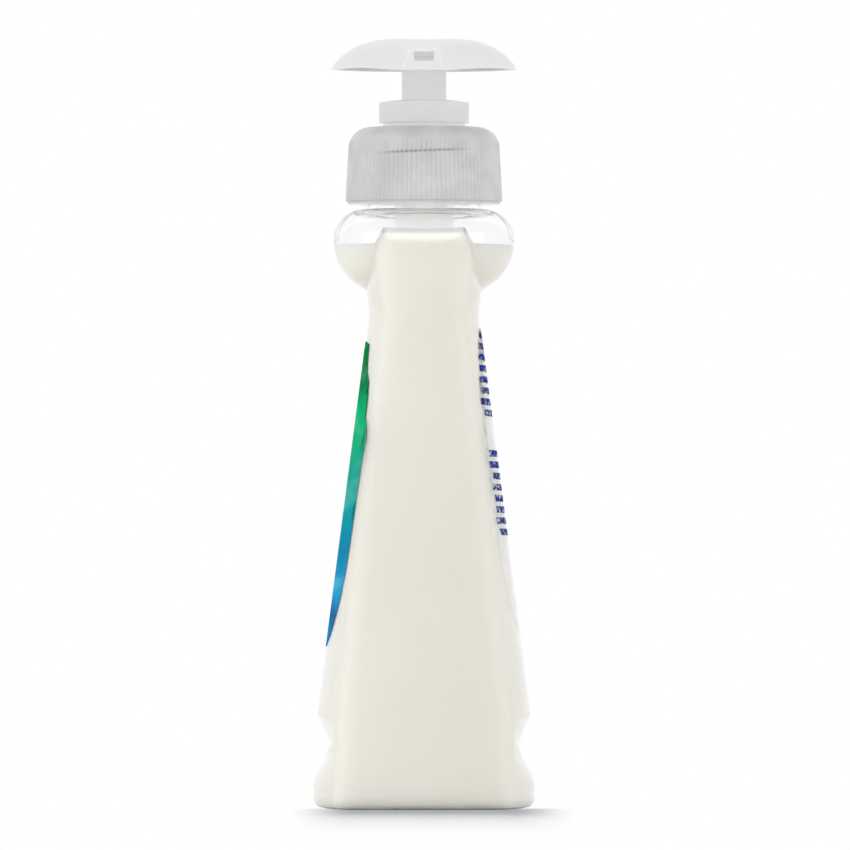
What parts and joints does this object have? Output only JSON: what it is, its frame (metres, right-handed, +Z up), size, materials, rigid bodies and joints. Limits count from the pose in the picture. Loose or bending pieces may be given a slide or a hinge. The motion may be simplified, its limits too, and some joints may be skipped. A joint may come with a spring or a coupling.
{
  "type": "hand soap bottle with pump",
  "caption": "Clear waisted hand soap bottle with a round bulb under the neck, two labels, a ribbed screw cap and a lock-down pump with a wing-shaped head.",
  "frame": {"origin": "on the table under the middle of the base, on the neck's axis", "axes": "+Z up along the neck, X across the wide front with the spout along +X, front label facing -Y and back label facing +Y"},
  "size_m": [0.067, 0.051, 0.1752],
  "materials": {
    "clear_bottle_plastic": "clear glossy blown polyester",
    "pearly_soap": "pearly cream liquid",
    "printed_film": "glossy printed film",
    "clear_film": "clear glossy film",
    "translucent_cap_plastic": "translucent natural polypropylene, satin",
    "natural_pump_plastic": "natural polypropylene",
    "white_head_plastic": "pale natural polypropylene, semi-gloss",
    "foam_gasket": "soft foam",
    "spring_steel": "bright",
    "tube_plastic": "natural polyethylene",
    "seal_plastic": "soft polyethylene"
  },
  "bodies": {
    "bottle_body": {"bottle": "clear_bottle_plastic", "liquid_soap": "pearly_soap", "front_label": "printed_film", "back_label": "clear_film"},
    "pump_body": {"pump_housing": "natural_pump_plastic", "neck_gasket": "foam_gasket", "lock_collar": "natural_pump_plastic", "dip_tube": "tube_plastic", "pump_spring": "spring_steel"},
    "closure": {"screw_cap": "translucent_cap_plastic"},
    "check_ball": {"inlet_ball": "spring_steel"},
    "plunger": {"piston": "seal_plastic"},
    "head": {"pump_head": "white_head_plastic", "piston_stem": "natural_pump_plastic", "stem_plug": "natural_pump_plastic"}
  },
  "joints": [
    {"name": "pump_lift", "type": "slide", "parent": "bottle_body", "child": "pump_body", "axis": [0, 0, 1], "range_m": [0, 0.00635]},
    {"name": "cap_turn", "type": "hinge", "parent": "pump_body", "child": "closure", "pos_m": [0, 0, 0.146], "axis": [0, 0, 1], "range_deg": [0, 540]},
    {"name": "ball_lift", "type": "slide", "parent": "pump_body", "child": "check_ball", "axis": [0, 0, 1], "range_m": [0, 0.0008]},
    {"name": "plunger_rise", "type": "slide", "parent": "pump_body", "child": "plunger", "axis": [0, 0, 1], "range_m": [0, 0.014], "deforming": ["pump_spring"]},
    {"name": "head_turn", "type": "hinge", "parent": "plunger", "child": "head", "pos_m": [0, 0, 0.165], "axis": [0, 0, 1], "continuous": true}
  ],
  "couplings": [
    {"joint": "pump_lift", "follows": "cap_turn", "m_per_rad": 0.00067323}
  ]
}
